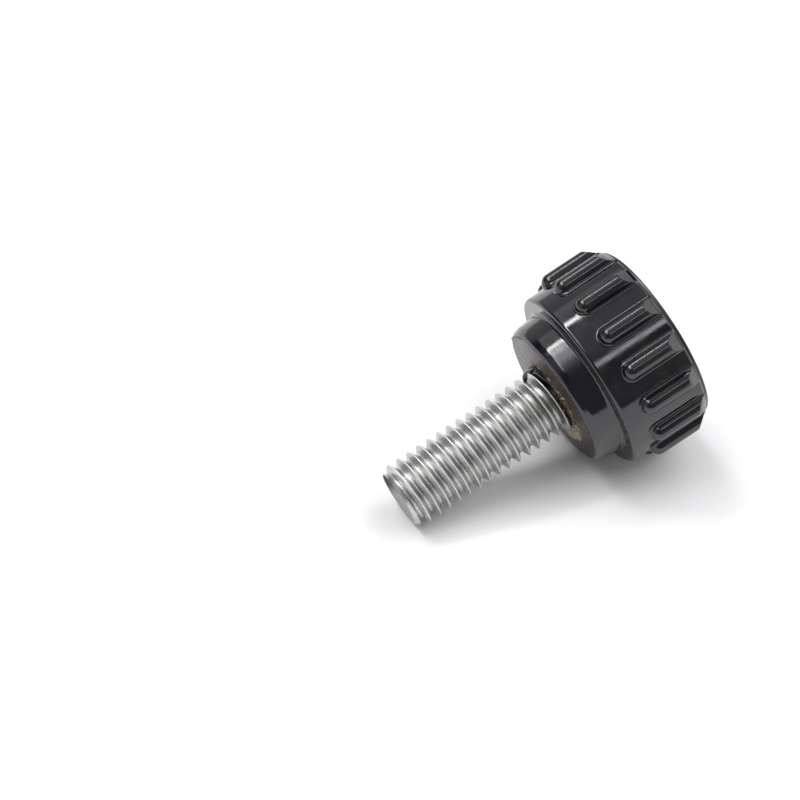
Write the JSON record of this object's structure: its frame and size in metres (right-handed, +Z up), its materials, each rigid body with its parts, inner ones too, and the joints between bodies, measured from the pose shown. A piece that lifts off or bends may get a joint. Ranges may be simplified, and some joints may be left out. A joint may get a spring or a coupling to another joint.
{
  "type": "thumb screw",
  "caption": "Thumb screw with a round ribbed plastic knob, a stepped collar under it and a fully threaded steel stud, lying at rest.",
  "frame": {"origin": "middle of the bounding box at floor height, with the screw lying at rest on the tip of its thread and two rib noses", "axes": "+X along the longest extent, from the stud's tip toward the knob (the screw's own axis lies in the X-Z plane and rises 16.8 degrees toward +X); +Z up; +Y completes a right-handed frame"},
  "size_m": [0.0276, 0.018, 0.0182],
  "materials": {
    "knob": "glossy black compression-moulded plastic, polished barrel and collar, duller chamfers and face",
    "stud": "bright plated rolled thread with bright crest lines"
  },
  "bodies": {
    "root": {"knob": "knob", "threaded_stud": "stud"}
  },
  "joints": []
}
